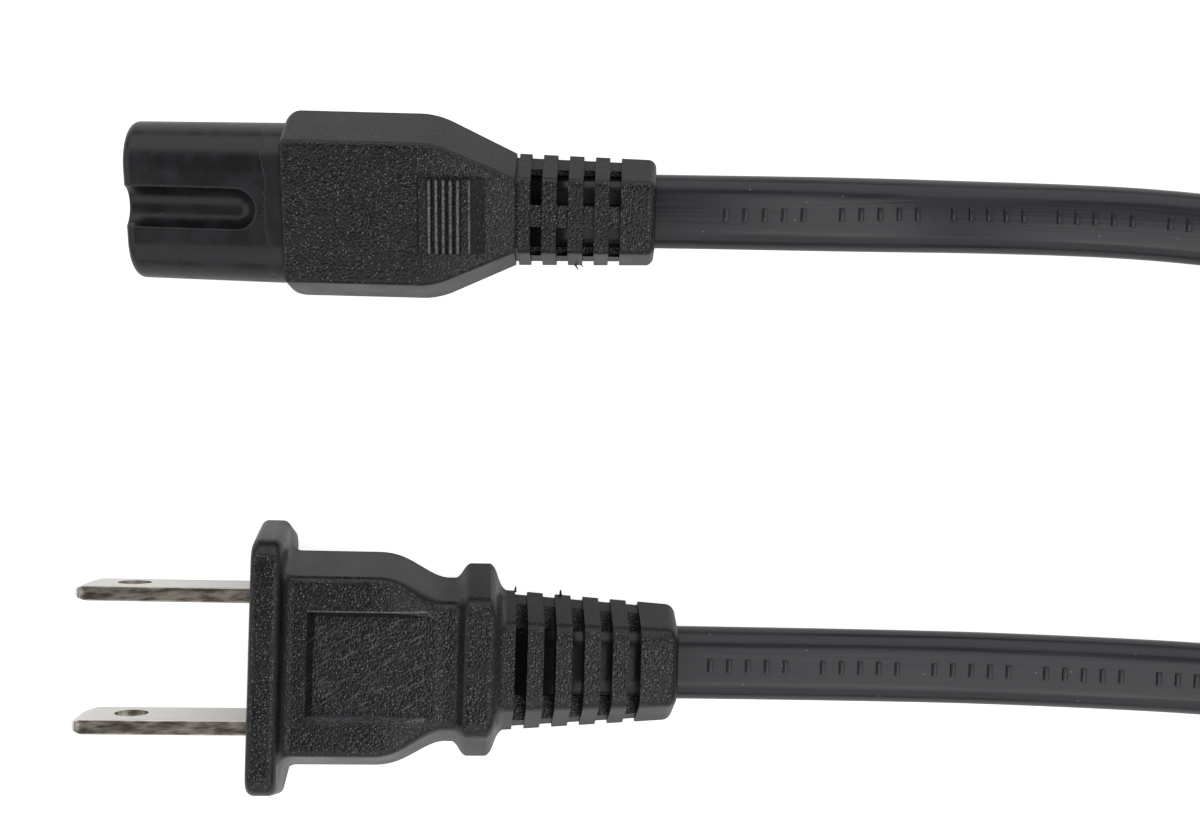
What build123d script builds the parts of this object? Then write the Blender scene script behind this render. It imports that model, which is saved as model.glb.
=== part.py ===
"""Two-wire appliance power cord, in millimetres.

A figure-eight appliance connector and a two-blade mains plug, each moulded on to one end of a flat
two-core lead. The two ends lie side by side on a table, and the length between them is wound in a
coil. Each end is modelled along its own axis, with x = 0 where the lead leaves it and its mating
face towards -x, and is then placed on the table. Z is up from the table.
"""

import math
import os

from build123d import *

# Flat lead
LEAD_WIDTH = 7.3
LEAD_THICKNESS = 3.7
CORE_SPACING = 3.4
CORE_DIAMETER = 2.7
CONDUCTOR_DIAMETER = 1.2
CORE_STRIP = 0.8

# Connector: the nose that enters the appliance
NOSE_LENGTH = 15.3
NOSE_WIDTH = 15.7
NOSE_HEIGHT = 8.7
NOSE_DRAFT = 0.8
NOSE_EDGE = 0.9
GROOVE_WIDTH = 3.8
GROOVE_DEPTH = 2.0
GROOVE_LENGTH = 12.6
GROOVE_LIP = 0.3
NOSE_ROOT_LENGTH = 6.5
NOSE_ROOT_WIDTH = 13.6
NOSE_ROOT_HEIGHT = 7.2

# Connector: the two contact sleeves
CONTACT_SPACING = 8.6
CONTACT_BORE = 2.4
CONTACT_WALL = 0.45
CONTACT_RECESS = 1.2
CONTACT_LENGTH = 11.0
CONTACT_SLIT = 0.5
CONTACT_MOUTH = 3.0
CONTACT_NECK = 1.0
CRIMP_LENGTH = 4.0
CRIMP_WALL = 0.4

# Connector: the overmould
BODY_LENGTH = 14.5
BODY_WIDTH = 18.2
BODY_FLAT = 13.4
BODY_HEIGHT = 10.5
BODY_ROUND = 0.7
BODY_FRONT_EDGE = 0.5
BODY_FRONT_CORNER = 1.2
SHOULDER_REACH = 1.6
SHOULDER_SECTIONS = 4
TAPER_LENGTH = 7.7
NECK_WIDTH = 11.0
NECK_FLAT = 7.0
NECK_HEIGHT = 7.9

# Connector: the ribbed thumb rest on both faces
PAD_WIDTH = 7.2
PAD_SETBACK = 12.8
PAD_LENGTH = 5.2
PAD_RAMP_LENGTH = 2.1
PAD_RISE = 0.2
PAD_RIB_COUNT = 5
PAD_RIB_PITCH = 0.68
PAD_RIB_RADIUS = 0.3
PAD_RIB_START = 1.4

# Connector: the strain relief
RELIEF_LENGTH = 13.6
RELIEF_END_WIDTH = 10.4
RELIEF_END_FLAT = 6.7
RELIEF_END_HEIGHT = 7.5
RELIEF_ROUND = 0.9
RELIEF_END_EDGE = 0.8
RELIEF_SLOTS = 4
RELIEF_SLOT_WIDTH = 1.12
RELIEF_SLOT_PITCH = 2.53
RELIEF_FIRST_RIB = 1.5
RELIEF_RECESS = 0.4
RELIEF_BRIDGE = 2.1
RELIEF_SIDE_WEB = 1.0
RELIEF_MID_WEB = 1.4
RELIEF_NECK_GROOVE = 0.3
RELIEF_JACKET_INSIDE = 0.6

# Plug: the two blades
BLADE_SPACING = 12.7
BLADE_WIDTH = 6.35
BLADE_THICKNESS = 1.5
BLADE_LENGTH = 17.0
BLADE_EDGE = 0.2
BLADE_TIP_LENGTH = 1.3
BLADE_TIP_THICKNESS = 0.7
BLADE_TIP_CORNER = 1.2
BLADE_HOLE = 3.18
BLADE_HOLE_FROM_FACE = 11.9
BLADE_TAIL_LENGTH = 1.5
BLADE_TAIL_WIDTH = 3.4

# Plug: the moulded bridge that holds the blades apart
BRIDGE_LENGTH = 4.0
BRIDGE_WIDTH = 17.6
BRIDGE_HEIGHT = 9.0
BRIDGE_CORNER = 1.5
BRIDGE_SETBACK = 1.2

# Plug: the overmould
FLANGE_WIDTH = 26.8
FLANGE_FLAT = 23.4
FLANGE_HEIGHT = 15.5
FLANGE_THICKNESS = 2.9
FLANGE_CORNER = 2.2
FLANGE_EDGE = 0.8
FLANGE_ROOT = 1.1
BARREL_LENGTH = 8.45
BARREL_WIDTH = 21.0
BARREL_FLAT = 16.8
BARREL_HEIGHT = 11.6
BARREL_ROUND = 0.9
BARREL_CURVE_LENGTH = 7.1
BARREL_CURVE_EASE = 1.25
BARREL_SECTIONS = 6
WAIST_LENGTH = 0.6
WAIST_WIDTH = 16.2
WAIST_FLAT = 11.8
WAIST_HEIGHT = 9.4
WAIST_ROUND = 1.4
COLLAR_RISE = 1.5
COLLAR_CREST = 1.9
COLLAR_FALL = 1.6
COLLAR_WIDTH = 19.1
COLLAR_FLAT = 12.4
COLLAR_HEIGHT = 11.7
COLLAR_ROUND = 2.0
COLLAR_SECTIONS = 4

# Plug: the sunken grip panel on both faces
PANEL_WIDTH = 9.4
PANEL_SETBACK = 2.9
PANEL_LENGTH = 12.4
PANEL_DEPTH = 1.0
PANEL_WALL_ANGLE = 30.0

# Plug: the strain relief
SLEEVE_LENGTH = 17.0
SLEEVE_START_WIDTH = 13.9
SLEEVE_START_FLAT = 7.8
SLEEVE_START_HEIGHT = 9.8
SLEEVE_END_WIDTH = 11.5
SLEEVE_END_FLAT = 6.8
SLEEVE_END_HEIGHT = 8.2
SLEEVE_ROUND = 1.8
SLEEVE_END_EDGE = 1.1
SLEEVE_SLOTS = 5
SLEEVE_SLOT_WIDTH = 1.2
SLEEVE_SLOT_PITCH = 2.77
SLEEVE_FIRST_RIB = 0.9
SLEEVE_RECESS = 0.35
SLEEVE_WEB_HEIGHT = 2.2
SLEEVE_JACKET_INSIDE = 17.6

# Coil of the length between the two ends
COIL_CENTRE = (157.4, 1.75)
COIL_TURN_DIAMETER = 75.0
COIL_TURN_PITCH = 3.9
COIL_TURNS_ACROSS = 3.315
COIL_LAYER_GAP = 0.2
COIL_LOOSENESS = 0.5
COIL_EDGE = 1.2
COIL_TAIL_LENGTH = 21.0
COIL_TAIL_LIFT = 0.15
TIE_WIDTH = 6.0
TIE_THICKNESS = 0.8

# Where the two ends lie on the table. The plug's flange is its tallest part, so the plug tips back
# on to its collar and strain relief, with the blades raised.
CONNECTOR_EXIT = (27.05, 23.65)
CONNECTOR_YAW = -1.5
CONNECTOR_ROLL = 17.0
PLUG_EXIT = (29.03, -21.0)
PLUG_YAW = -1.6
PLUG_PITCH = 5.4

# Routes of the lead from each end to the coil, after the first point at the cut end of the jacket.
# A height of None is the height of the axis that the lead leaves along.
CONNECTOR_ROUTE = [
    (42.85, 23.6, None),
    (64.85, 23.85, 1.86),
    (78.5, 23.25, 1.86),
    (91.0, 21.75, 1.86),
    (103.5, 23.8, 1.86),
    (115.0, 29.66, 1.86),
]
PLUG_ROUTE = [
    (50.92, -21.61, 1.98),
    (71.5, -22.4, 1.86),
    (86.5, -23.25, 1.86),
    (97.0, -24.75, 1.86),
    (106.7, -26.55, 2.4),
    (119.8, -31.35, 5.6),
]
TWIST_CLEAR = 0.5
TWIST_LENGTH = 4.6


def across(x):
    """Plane across the axis at x, with its own x to the side and its own y up."""
    return Plane(origin=(x, 0, 0), x_dir=(0, 1, 0), z_dir=(1, 0, 0))


def six_sided(x, width, flat, height, corner):
    """Section with a crisp widest line at mid height, where the two mould halves meet."""
    half = height / 2
    points = [(width / 2, 0), (flat / 2, half), (-flat / 2, half)]
    points += [(-px, -py) for px, py in points]
    outline = Polygon(*points, align=None)
    corners = outline.vertices().filter_by(lambda vertex: abs(vertex.Y) > half / 2)
    return across(x) * fillet(corners, corner)


def eased_loft(x0, x1, size0, size1, count, ease=1.0):
    """Smooth body between two six-sided sections, level at both of its ends."""
    sections = []
    for i in range(count + 1):
        t = i / count
        share = (1 - math.cos(math.pi * t**ease)) / 2
        size = [low + (high - low) * share for low, high in zip(size0, size1)]
        sections.append(six_sided(x0 + t * (x1 - x0), *size))
    return loft(sections)


def rounded(x, width, height, corner):
    """Rounded rectangular section across the axis at x."""
    return across(x) * RectangleRounded(width, height, corner)


def slab(x0, x1, width=60.0, height=60.0):
    """Block across the axis from x0 to x1."""
    return Pos((x0 + x1) / 2, 0, 0) * Box(x1 - x0, width, height)


def slot_starts(first, count, pitch):
    """Where each slot of a row begins."""
    return [first + i * pitch for i in range(count)]


def soften_ends(solid, radius):
    """Rounds the edges of both ends of a solid that was drawn along the axis."""
    solid = fillet(solid.faces().sort_by(Axis.X)[0].edges(), radius)
    return fillet(solid.faces().sort_by(Axis.X)[-1].edges(), radius)


def rod(x0, x1, y, diameter):
    """Round bar along the axis at a side distance y."""
    return extrude(across(x0) * Pos(y, 0) * Circle(diameter / 2), x1 - x0)


def core_solids(x0, x1, x2, y_crimp, y_lead):
    """Insulation and conductor from a crimp to the cut end of the jacket at x2, on one side."""
    lean = (x2 - x1) * 0.3
    path = Polyline((x1, y_crimp, 0), (x1 + lean, y_crimp, 0), (x2 - lean, y_lead, 0), (x2, y_lead, 0))
    start = across(x1) * Pos(y_crimp, 0)
    cover = sweep(start * Circle(CORE_DIAMETER / 2), path, transition=Transition.RIGHT)
    wire = sweep(start * Circle(CONDUCTOR_DIAMETER / 2), path, transition=Transition.RIGHT)
    wire += rod(x0, x1, y_crimp, CONDUCTOR_DIAMETER)
    return cover - wire, wire, cover + wire


# Connector stations along its axis
relief_start = -RELIEF_LENGTH
taper_start = relief_start - TAPER_LENGTH
body_front = taper_start - BODY_LENGTH
nose_end = body_front - NOSE_LENGTH
contact_start = nose_end + CONTACT_RECESS
contact_neck = contact_start + CONTACT_LENGTH
contact_crimp = contact_neck + CONTACT_NECK
contact_end = contact_crimp + CRIMP_LENGTH
connector_jacket_end = relief_start - RELIEF_JACKET_INSIDE


def taper_section(x):
    """Section of the taper at x, which also eases the shoulder between the body and the taper."""
    reach = x - taper_start
    if reach < SHOULDER_REACH:
        reach = (reach + SHOULDER_REACH) ** 2 / (4 * SHOULDER_REACH)
    share = reach / TAPER_LENGTH
    width = BODY_WIDTH + (NECK_WIDTH - BODY_WIDTH) * share
    flat = BODY_FLAT + (NECK_FLAT - BODY_FLAT) * share
    height = BODY_HEIGHT + (NECK_HEIGHT - BODY_HEIGHT) * share
    return six_sided(x, width, flat, height, BODY_ROUND)


def connector_shell():
    """Outside of the connector's overmould, before what it encloses is taken out of it."""
    front = six_sided(body_front, BODY_WIDTH, BODY_FLAT, BODY_HEIGHT, BODY_ROUND)
    body = extrude(front, BODY_LENGTH - SHOULDER_REACH)
    plan = Pos(body_front, 0) * Rectangle(BODY_LENGTH, BODY_WIDTH, align=(Align.MIN, Align.CENTER))
    plan = fillet(plan.vertices().sort_by(Axis.X)[:2], BODY_FRONT_CORNER)
    body &= extrude(plan, BODY_HEIGHT, both=True)
    body = fillet(body.faces().sort_by(Axis.X)[0].edges(), BODY_FRONT_EDGE)
    step = 2 * SHOULDER_REACH / SHOULDER_SECTIONS
    shoulder_start = taper_start - SHOULDER_REACH
    body += loft([taper_section(shoulder_start + i * step) for i in range(SHOULDER_SECTIONS + 1)])
    body += loft([taper_section(taper_start + SHOULDER_REACH), taper_section(relief_start)], ruled=True)
    body += connector_relief()
    for side in (0, 180):
        body += Rot(side, 0, 0) * thumb_rest()
    return body


def connector_relief():
    """Slotted sleeve that lets the lead bend gently where it leaves the connector."""
    start = six_sided(relief_start, NECK_WIDTH, NECK_FLAT, NECK_HEIGHT, RELIEF_ROUND)
    end = six_sided(0, RELIEF_END_WIDTH, RELIEF_END_FLAT, RELIEF_END_HEIGHT, RELIEF_ROUND)
    sleeve = loft([start, end], ruled=True)
    sleeve = fillet(sleeve.faces().sort_by(Axis.X)[-1].edges(), RELIEF_END_EDGE)
    less = 2 * RELIEF_RECESS
    inner_start = six_sided(
        relief_start, NECK_WIDTH - less, NECK_FLAT - less, NECK_HEIGHT - less, RELIEF_ROUND
    )
    inner_end = six_sided(
        0, RELIEF_END_WIDTH - less, RELIEF_END_FLAT - less, RELIEF_END_HEIGHT - less, RELIEF_ROUND
    )
    inner = loft([inner_start, inner_end], ruled=True)
    sleeve -= slab(relief_start, relief_start + RELIEF_NECK_GROOVE) - inner
    pocket_width = RELIEF_END_WIDTH / 2 - RELIEF_SIDE_WEB - RELIEF_BRIDGE / 2
    pocket_middle = RELIEF_BRIDGE / 2 + pocket_width / 2
    for x0 in slot_starts(relief_start + RELIEF_FIRST_RIB, RELIEF_SLOTS, RELIEF_SLOT_PITCH):
        x1 = x0 + RELIEF_SLOT_WIDTH
        sleeve -= slab(x0, x1) - inner
        for side in (-1, 1):
            pocket = Pos(0, side * pocket_middle, 0) * slab(x0, x1, pocket_width)
            sleeve -= pocket - slab(x0, x1, height=RELIEF_MID_WEB)
    return sleeve


def thumb_rest():
    """Ribbed pad that stays level while the body falls away, with a ramp at its end."""
    top = BODY_HEIGHT / 2 + PAD_RISE
    base = NECK_HEIGHT / 2 - 1
    x0 = body_front + PAD_SETBACK
    x1 = x0 + PAD_LENGTH
    x2 = x1 + PAD_RAMP_LENGTH
    side_view = Plane(origin=(0, 0, 0), x_dir=(1, 0, 0), z_dir=(0, -1, 0))
    outline = Polygon((x0, base), (x2, base), (x2, NECK_HEIGHT / 2), (x1, top),
                      (x0 + 2 * PAD_RISE, top), (x0, top - 2 * PAD_RISE), align=None)
    pad = extrude(side_view * outline, PAD_WIDTH / 2, both=True)
    for i in range(PAD_RIB_COUNT):
        x = x0 + PAD_RIB_START + i * PAD_RIB_PITCH
        pad += Pos(x, 0, top) * Rot(90, 0, 0) * Cylinder(PAD_RIB_RADIUS, PAD_WIDTH)
    return pad


def is_groove_lip(edge, start, end):
    """Whether an edge of the nose runs along a groove, on the outside of the nose."""
    middle = edge.position_at(0.5)
    beside = abs(abs(middle.Y) - GROOVE_WIDTH / 2) < GROOVE_WIDTH / 4
    return beside and start < middle.X < end and abs(middle.Z) > NOSE_HEIGHT / 4


def nose_outside():
    """Figure-eight nose and the root that locks it into the overmould."""
    less = 2 * NOSE_LENGTH * math.tan(math.radians(NOSE_DRAFT))
    root = across(body_front) * SlotOverall(NOSE_WIDTH, NOSE_HEIGHT)
    tip = across(nose_end) * SlotOverall(NOSE_WIDTH - less, NOSE_HEIGHT - less)
    nose = loft([tip, root], ruled=True)
    nose = fillet(nose.faces().sort_by(Axis.X)[0].edges(), NOSE_EDGE)
    groove_middle = NOSE_HEIGHT / 2 - GROOVE_DEPTH + GROOVE_WIDTH / 2
    groove_end = nose_end + GROOVE_LENGTH - GROOVE_WIDTH / 2
    for side in (-1, 1):
        z = side * groove_middle
        groove = extrude(across(nose_end) * Pos(0, z) * Circle(GROOVE_WIDTH / 2), groove_end - nose_end)
        groove += Pos(groove_end, 0, z) * Sphere(GROOVE_WIDTH / 2)
        nose -= groove
    lips = nose.edges().filter_by(lambda edge: is_groove_lip(edge, nose_end, groove_end))
    nose = fillet(lips, GROOVE_LIP)
    root_section = across(body_front) * SlotOverall(NOSE_ROOT_WIDTH, NOSE_ROOT_HEIGHT)
    return nose + extrude(root_section, NOSE_ROOT_LENGTH)


def contact(y):
    """Split spring sleeve with a crimp, and the space that it fills in the nose."""
    outer = CONTACT_BORE + 2 * CONTACT_WALL
    sleeve = rod(contact_start, contact_neck, y, outer)
    space = sleeve
    sleeve -= rod(contact_start, contact_neck, y, CONTACT_BORE)
    slit = Box(CONTACT_LENGTH, CONTACT_SLIT, outer, align=(Align.MIN, Align.CENTER, Align.MIN))
    sleeve -= Pos(contact_start, y, 0) * slit
    sleeve += rod(contact_neck, contact_crimp, y, outer)
    crimp = rod(contact_crimp, contact_end, y, CONDUCTOR_DIAMETER + 2 * CRIMP_WALL)
    piece = sleeve + crimp - rod(contact_crimp, contact_end, y, CONDUCTOR_DIAMETER)
    mouth = rod(nose_end - 1, contact_start, y, CONTACT_MOUTH)
    return piece, space + rod(contact_neck, contact_crimp, y, outer) + crimp + mouth


# Plug stations along its axis
sleeve_start = -SLEEVE_LENGTH
crest_end = sleeve_start - COLLAR_FALL
crest_start = crest_end - COLLAR_CREST
collar_start = crest_start - COLLAR_RISE
waist_start = collar_start - WAIST_LENGTH
curve_start = waist_start - BARREL_CURVE_LENGTH
flange_back = curve_start - BARREL_LENGTH
flange_face = flange_back - FLANGE_THICKNESS
bridge_start = flange_face + BRIDGE_SETBACK
bridge_end = bridge_start + BRIDGE_LENGTH
blade_crimp = bridge_end + BLADE_TAIL_LENGTH
blade_end = blade_crimp + CRIMP_LENGTH
plug_jacket_end = -SLEEVE_JACKET_INSIDE

# Sections of the plug: width, width of the flat, height and rounding of the flat's sides
barrel_size = (BARREL_WIDTH, BARREL_FLAT, BARREL_HEIGHT, BARREL_ROUND)
waist_size = (WAIST_WIDTH, WAIST_FLAT, WAIST_HEIGHT, WAIST_ROUND)
collar_size = (COLLAR_WIDTH, COLLAR_FLAT, COLLAR_HEIGHT, COLLAR_ROUND)
sleeve_size = (SLEEVE_START_WIDTH, SLEEVE_START_FLAT, SLEEVE_START_HEIGHT, SLEEVE_ROUND)


def plug_shell():
    """Outside of the plug's overmould, before what it encloses is taken out of it."""
    shell = barrel() + flange()
    roots = shell.edges().filter_by_position(Axis.X, flange_back, flange_back)
    shell = fillet(roots, FLANGE_ROOT)
    shell += collar() + sleeve()
    for x0 in slot_starts(sleeve_start + SLEEVE_FIRST_RIB, SLEEVE_SLOTS, SLEEVE_SLOT_PITCH):
        shell -= slab(x0, x0 + SLEEVE_SLOT_WIDTH) - sleeve(SLEEVE_RECESS)
        for side in (-1, 1):
            middle = side * (SLEEVE_WEB_HEIGHT + FLANGE_HEIGHT) / 2
            shell -= Pos(0, 0, middle) * slab(x0, x0 + SLEEVE_SLOT_WIDTH, height=FLANGE_HEIGHT)
    for turn in (0, 180):
        shell -= Rot(turn, 0, 0) * grip_panel()
    return shell


def flange():
    """Plate behind the mating face."""
    section = six_sided(flange_face, FLANGE_WIDTH, FLANGE_FLAT, FLANGE_HEIGHT, FLANGE_CORNER)
    return soften_ends(extrude(section, FLANGE_THICKNESS), FLANGE_EDGE)


def barrel():
    """Grip behind the flange, straight at first and then drawn in to the waist."""
    solid = extrude(six_sided(flange_back, *barrel_size), BARREL_LENGTH)
    solid += eased_loft(
        curve_start, waist_start, barrel_size, waist_size, BARREL_SECTIONS, BARREL_CURVE_EASE
    )
    return solid + extrude(six_sided(waist_start, *waist_size), WAIST_LENGTH)


def collar():
    """Finger stop between the waist and the strain relief, with hollow flanks."""
    solid = eased_loft(collar_start, crest_start, waist_size, collar_size, COLLAR_SECTIONS)
    solid += extrude(six_sided(crest_start, *collar_size), COLLAR_CREST)
    return solid + eased_loft(crest_end, sleeve_start, collar_size, sleeve_size, COLLAR_SECTIONS)


def sleeve(less=0.0):
    """Tapered outside of the strain relief, or the same form set in all round by less."""
    start = six_sided(sleeve_start, SLEEVE_START_WIDTH - 2 * less, SLEEVE_START_FLAT - 2 * less,
                      SLEEVE_START_HEIGHT - 2 * less, SLEEVE_ROUND)
    end = six_sided(0, SLEEVE_END_WIDTH - 2 * less, SLEEVE_END_FLAT - 2 * less,
                    SLEEVE_END_HEIGHT - 2 * less, SLEEVE_ROUND)
    solid = loft([start, end], ruled=True)
    if less:
        return solid
    return fillet(solid.faces().sort_by(Axis.X)[-1].edges(), SLEEVE_END_EDGE)


def grip_panel():
    """Space of the sunken panel in the top face, with sloping walls, open towards the waist."""
    floor = BARREL_HEIGHT / 2 - PANEL_DEPTH
    outline = Rectangle(PANEL_LENGTH, PANEL_WIDTH, align=(Align.MIN, Align.CENTER))
    face = Pos(flange_back + PANEL_SETBACK, 0, floor) * outline
    return extrude(face, 2 * PANEL_DEPTH, taper=-PANEL_WALL_ANGLE)


def blade(y):
    """One blade with its tail and crimp, centred at the side distance y."""
    tip = flange_face - BLADE_LENGTH
    side_view = Plane(origin=(0, 0, 0), x_dir=(1, 0, 0), z_dir=(0, -1, 0))
    middle = Pos((tip + bridge_end) / 2, 0) * Rectangle(bridge_end - tip, BLADE_WIDTH)
    ends = middle.vertices().sort_by(Axis.X)[:2]
    profile = fillet(ends, BLADE_TIP_CORNER)
    profile -= Pos(flange_face - BLADE_HOLE_FROM_FACE, 0) * Circle(BLADE_HOLE / 2)
    bar = extrude(rounded(tip, BLADE_THICKNESS, BLADE_WIDTH, BLADE_EDGE), bridge_end - tip)
    half = BLADE_THICKNESS / 2
    half_tip = BLADE_TIP_THICKNESS / 2
    shoulder = tip + BLADE_TIP_LENGTH
    plan = Polygon((tip, half_tip), (tip, -half_tip), (shoulder, -half), (bridge_end, -half),
                   (bridge_end, half), (shoulder, half), align=None)
    plate = bar & extrude(side_view * profile, BLADE_THICKNESS, both=True)
    plate &= extrude(plan, BLADE_WIDTH, both=True)
    tail = slab(bridge_end, blade_crimp, BLADE_THICKNESS, BLADE_TAIL_WIDTH)
    crimp = rod(blade_crimp, blade_end, 0, CONDUCTOR_DIAMETER + 2 * CRIMP_WALL)
    solid = plate + tail + crimp
    bore = rod(blade_crimp, blade_end, 0, CONDUCTOR_DIAMETER)
    return Pos(0, y, 0) * (solid - bore), Pos(0, y, 0) * solid


def connector_pieces():
    """The pieces of the connector along its own axis, by name, before the lead is fitted."""
    block = nose_outside()
    shell = connector_shell() - block
    pieces = {}
    for name, side in (("upper", 1), ("lower", -1)):
        y = side * CONTACT_SPACING / 2
        piece, space = contact(y)
        covered = contact_end + CORE_STRIP
        cover, wire, core = core_solids(
            contact_crimp, covered, connector_jacket_end, y, side * CORE_SPACING / 2
        )
        block -= space + core
        shell -= core
        pieces[name + "_contact"] = piece
        pieces[name + "_contact_core"] = cover
        pieces[name + "_contact_wire"] = wire
    return {"connector_overmould": shell, "contact_block": block, **pieces}


def plug_pieces():
    """The pieces of the plug along its own axis, by name, before the lead is fitted."""
    section = rounded(bridge_start, BRIDGE_WIDTH, BRIDGE_HEIGHT, BRIDGE_CORNER)
    bridge = extrude(section, BRIDGE_LENGTH)
    shell = plug_shell() - bridge
    pieces = {}
    for name, side in (("upper", 1), ("lower", -1)):
        y = side * BLADE_SPACING / 2
        piece, space = blade(y)
        cover, wire, core = core_solids(
            blade_crimp, blade_end + CORE_STRIP, plug_jacket_end, y, side * CORE_SPACING / 2
        )
        bridge -= space
        shell = shell - space - core
        pieces[name + "_blade"] = piece
        pieces[name + "_blade_core"] = cover
        pieces[name + "_blade_wire"] = wire
    return {"plug_overmould": shell, "blade_bridge": bridge, **pieces}


def lead_section(start, along, roll, on_edge=False):
    """Section of the flat lead across its direction, level unless it is rolled."""
    direction = Vector(*along).normalized()
    side = Vector(0, 0, 1).cross(direction)
    plane = Plane(origin=start, x_dir=side, z_dir=direction)
    turn = roll + (90 if on_edge else 0)
    return plane * Rot(0, 0, turn) * SlotOverall(LEAD_WIDTH, LEAD_THICKNESS)


def route_radii(points):
    """Radius at each corner, as large as the shorter of its two runs allows."""
    radii = []
    for before, here, after in zip(points, points[1:], points[2:]):
        turn = (here - before).get_angle(after - here)
        shorter = min((here - before).length, (after - here).length)
        radii.append(0.45 * shorter / math.tan(math.radians(turn / 2)))
    return radii


def lead(points, roll=0.0, straight=0.0):
    """Flat lead along a route, rolled as it leaves the moulding and level after a short twist."""
    radii = route_radii(points)
    print("corner radii", [round(radius, 1) for radius in radii])
    along = (points[1] - points[0]).normalized()
    start = points[0]
    solid = None
    if roll:
        twist_start = start + along * straight
        rolled = lead_section(twist_start, along, roll)
        start = twist_start + along * TWIST_LENGTH
        solid = extrude(lead_section(points[0], along, roll), straight, dir=along)
        solid += loft([rolled, lead_section(start, along, 0)], ruled=True)
    path = FilletPolyline(start, *points[1:], radius=radii)
    tube = sweep(lead_section(start, along, 0), path)
    area = LEAD_THICKNESS * (LEAD_WIDTH - LEAD_THICKNESS) + math.pi * LEAD_THICKNESS**2 / 4
    print("tube volume", round(tube.volume, 1), "section by length", round(area * path.length, 1))
    return tube if solid is None else solid + tube


def coil_and_tie(connector_end, connector_along, plug_end, plug_along):
    """Outer shape of the two-layer coil with the two tails that leave it, and the tie round it."""
    spread = COIL_TURNS_ACROSS * COIL_TURN_PITCH / 2
    outer = COIL_TURN_DIAMETER / 2 + spread + LEAD_THICKNESS / 2 + COIL_LOOSENESS
    inner = COIL_TURN_DIAMETER / 2 - spread - LEAD_THICKNESS / 2
    height = 2 * LEAD_WIDTH + COIL_LAYER_GAP
    bottom = (Align.CENTER, Align.CENTER, Align.MIN)
    ring = Cylinder(outer, height, align=bottom) - Cylinder(inner, height, align=bottom)
    rims = ring.edges().filter_by(GeomType.CIRCLE)
    coil = Pos(*COIL_CENTRE, 0) * chamfer(rims, COIL_EDGE)
    tie_place = Pos(COIL_CENTRE[0] - (outer + inner) / 2, COIL_CENTRE[1], 0)
    depth = outer - inner + 2 * TIE_THICKNESS
    coil -= tie_place * Box(depth, TIE_WIDTH, TIE_THICKNESS, align=bottom)
    tie = tie_place * Box(depth, TIE_WIDTH, height + TIE_THICKNESS, align=bottom) - coil
    low_end = Vector(connector_end.X, connector_end.Y, LEAD_WIDTH / 2 + COIL_TAIL_LIFT)
    for end, along in ((low_end, connector_along), (plug_end, plug_along)):
        coil += extrude(lead_section(end, along, 0, on_edge=True), COIL_TAIL_LENGTH, dir=along)
    return coil, tie


def build():
    """Every piece in its place on the table, by name."""
    connector = connector_pieces()
    plug = plug_pieces()
    rolled = Rot(CONNECTOR_ROLL, 0, 0) * connector["connector_overmould"]
    connector_axis = -rolled.bounding_box().min.Z
    pitched = Rot(0, PLUG_PITCH, 0) * plug["plug_overmould"]
    plug_axis = -pitched.bounding_box().min.Z
    connector_place = Pos(*CONNECTOR_EXIT, connector_axis) * Rot(0, 0, CONNECTOR_YAW)
    connector_place *= Rot(CONNECTOR_ROLL, 0, 0)
    plug_place = Pos(*PLUG_EXIT, plug_axis) * Rot(0, 0, PLUG_YAW) * Rot(0, PLUG_PITCH, 0)
    pieces = {name: connector_place * solid for name, solid in connector.items()}
    pieces.update({name: plug_place * solid for name, solid in plug.items()})

    leads = []
    for place, jacket_end, axis_height, route in (
        (connector_place, connector_jacket_end, connector_axis, CONNECTOR_ROUTE),
        (plug_place, plug_jacket_end, plug_axis, PLUG_ROUTE),
    ):
        start = (place * Pos(jacket_end, 0, 0)).position
        points = [Vector(x, y, axis_height if z is None else z) for x, y, z in route]
        leads.append([start] + points)
    to_connector, to_plug = leads
    print("axis heights where the lead leaves", round(connector_axis, 3), round(plug_axis, 3))
    print("lead starts", to_connector[0], to_plug[0])
    pieces["lead_to_connector"] = lead(to_connector, CONNECTOR_ROLL, TWIST_CLEAR - connector_jacket_end)
    pieces["lead_to_plug"] = lead(to_plug)
    for held, ends in (("lead_to_connector", connector), ("lead_to_plug", plug)):
        for name in ends:
            if name.endswith(("overmould", "core", "wire")):
                pieces[name] -= pieces[held]
    pieces["cord_coil"], pieces["coil_tie"] = coil_and_tie(
        to_connector[-1], (to_connector[-1] - to_connector[-2]).normalized(),
        to_plug[-1], (to_plug[-1] - to_plug[-2]).normalized(),
    )
    return pieces


os.makedirs("parts", exist_ok=True)
for node, solid in build().items():
    export_step(solid, f"parts/{node}.step")
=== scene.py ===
# %% [markdown]
# # A two-wire power cord
# The cord has a figure-eight connector for an appliance at one end and a plug with two flat blades
# at the other. Both ends are black PVC, moulded on to a flat two-core lead. Their shapes come from
# the CAD model. This file adds the lead as one long piece, the small marks that moulding
# leaves, the finishes, the table, the lights and the camera.

import math

import bmesh
import bpy
from mathutils import Matrix, Vector


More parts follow.
